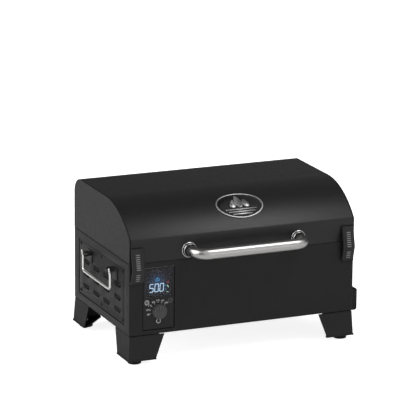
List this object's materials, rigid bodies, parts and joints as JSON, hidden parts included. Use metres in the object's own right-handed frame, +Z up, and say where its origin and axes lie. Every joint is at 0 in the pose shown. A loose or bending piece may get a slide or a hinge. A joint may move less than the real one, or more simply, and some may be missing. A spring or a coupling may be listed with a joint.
{
  "type": "pellet smoker grill",
  "caption": "Tabletop wood pellet grill: curved hinged lid, steel tube handle, control panel, louvred side, rear pellet hopper and four folded legs.",
  "frame": {"origin": "under the middle of the whole grill, on the plane the rubber feet stand on", "axes": "+X to the user's right, -Y to the front where the lid handle is, +Z up"},
  "size_m": [0.6179, 0.5504, 0.3625],
  "materials": {
    "black_steel": "textured black powder coat on sheet steel, satin",
    "black_plastic": "moulded black plastic, fine texture",
    "knob_plastic": "dark grey moulded plastic with a turned face",
    "rubber": "matt black rubber",
    "stainless": "brushed stainless steel tube and rod",
    "chrome": "polished chrome",
    "badge_metal": "cast badge, dark silver",
    "display_glass": "smoked clear window over the display",
    "circuit_board": "green circuit board with a dark display",
    "zinc_steel": "zinc plated fasteners",
    "bare_steel": "galvanised or bare sheet steel",
    "enamel": "black porcelain enamel"
  },
  "bodies": {
    "body": {"auger_motor": "black_plastic", "auger_tube": "bare_steel", "body_floor": "black_steel", "body_front_panel": "black_steel", "body_left_wall": "black_steel", "body_rear_panel": "black_steel", "body_right_wall": "black_steel", "body_rim": "black_steel", "carry_handle_brackets": "black_steel", "compartment_baffle": "bare_steel", "control_board": "circuit_board", "controller_fascia": "black_plastic", "controller_housing": "black_plastic", "cooking_grate": "enamel", "display_window": "display_glass", "drip_tray": "enamel", "fan_housing": "black_plastic", "feet": "rubber", "fire_pot": "bare_steel", "foot_bolts": "zinc_steel", "grate_rails": "bare_steel", "grease_cup_bracket": "black_steel", "grease_drain": "bare_steel", "heat_deflector": "enamel", "hinge_leaves_body": "black_steel", "hinge_pins": "zinc_steel", "hopper_chute": "bare_steel", "hopper_guard": "bare_steel", "hopper_shell": "black_steel", "igniter": "bare_steel", "latch_bases": "black_steel", "latch_pins": "zinc_steel", "legs": "black_steel", "power_inlet": "black_plastic", "service_panel": "black_steel", "service_panel_screws": "zinc_steel", "temperature_probe": "bare_steel"},
    "lid": {"lid_shell": "black_steel", "lid_end_left": "black_steel", "lid_end_right": "black_steel", "lid_badge": "badge_metal", "handle_bezels": "chrome", "lid_handle": "stainless", "handle_bolts": "zinc_steel", "hinge_leaves_lid": "black_steel", "latch_keepers": "black_steel"},
    "latch_left": {"latch_lever_left": "black_steel"},
    "latch_right": {"latch_lever_right": "black_steel"},
    "bail_left": {"carry_handle_left": "stainless"},
    "bail_right": {"carry_handle_right": "stainless"},
    "hopper_cover": {"hopper_lid": "black_steel"},
    "knob": {"control_knob": "knob_plastic", "knob_shaft": "zinc_steel"},
    "button_left": {"left_button": "knob_plastic"},
    "button_right": {"right_button": "knob_plastic"},
    "button_power": {"power_button": "knob_plastic"},
    "auger": {"auger_screw": "bare_steel"},
    "fan": {"fan_impeller": "black_plastic"},
    "cup": {"grease_cup": "bare_steel"},
    "slider": {"broiler_slider": "enamel"}
  },
  "joints": [
    {"name": "lid_hinge", "type": "hinge", "parent": "body", "child": "lid", "pos_m": [-0.00825, 0.138, 0.2385], "axis": [-1, 0, 0], "range_deg": [0, 85]},
    {"name": "latch_left_hinge", "type": "hinge", "parent": "body", "child": "latch_left", "pos_m": [-0.27275, -0.2157, 0.196], "axis": [1, 0, 0], "range_deg": [0, 75]},
    {"name": "latch_right_hinge", "type": "hinge", "parent": "body", "child": "latch_right", "pos_m": [0.25625, -0.2157, 0.196], "axis": [1, 0, 0], "range_deg": [0, 75]},
    {"name": "bail_left_hinge", "type": "hinge", "parent": "body", "child": "bail_left", "pos_m": [-0.30325, -0.04925, 0.204], "axis": [0, 1, 0], "range_deg": [0, 100]},
    {"name": "bail_right_hinge", "type": "hinge", "parent": "body", "child": "bail_right", "pos_m": [0.28675, -0.04925, 0.204], "axis": [0, -1, 0], "range_deg": [0, 100]},
    {"name": "hopper_lid_hinge", "type": "hinge", "parent": "body", "child": "hopper_cover", "pos_m": [-0.00825, 0.2685, 0.22], "axis": [-1, 0, 0], "range_deg": [0, 105]},
    {"name": "knob_turn", "type": "hinge", "parent": "body", "child": "knob", "pos_m": [-0.21675, -0.2125, 0.123], "axis": [0, -1, 0], "range_deg": [-270, 0]},
    {"name": "button_left_press", "type": "slide", "parent": "body", "child": "button_left", "axis": [0, 1, 0], "range_m": [0, 0.001], "stiffness_N_per_m": 600, "springref_m": -0.001},
    {"name": "button_right_press", "type": "slide", "parent": "body", "child": "button_right", "axis": [0, 1, 0], "range_m": [0, 0.001], "stiffness_N_per_m": 600, "springref_m": -0.001},
    {"name": "button_power_press", "type": "slide", "parent": "body", "child": "button_power", "axis": [0, 1, 0], "range_m": [0, 0.001], "stiffness_N_per_m": 600, "springref_m": -0.001},
    {"name": "auger_turn", "type": "hinge", "parent": "body", "child": "auger", "pos_m": [-0.00825, -0.04, 0.112], "axis": [0, 1, 0], "continuous": true},
    {"name": "fan_turn", "type": "hinge", "parent": "body", "child": "fan", "pos_m": [-0.22625, -0.04, 0.132], "axis": [0, 1, 0], "continuous": true},
    {"name": "cup_slide", "type": "slide", "parent": "body", "child": "cup", "axis": [1, 0, 0], "range_m": [0, 0.06]},
    {"name": "slider_slide", "type": "slide", "parent": "body", "child": "slider", "axis": [1, 0, 0], "range_m": [0, 0.007]}
  ]
}
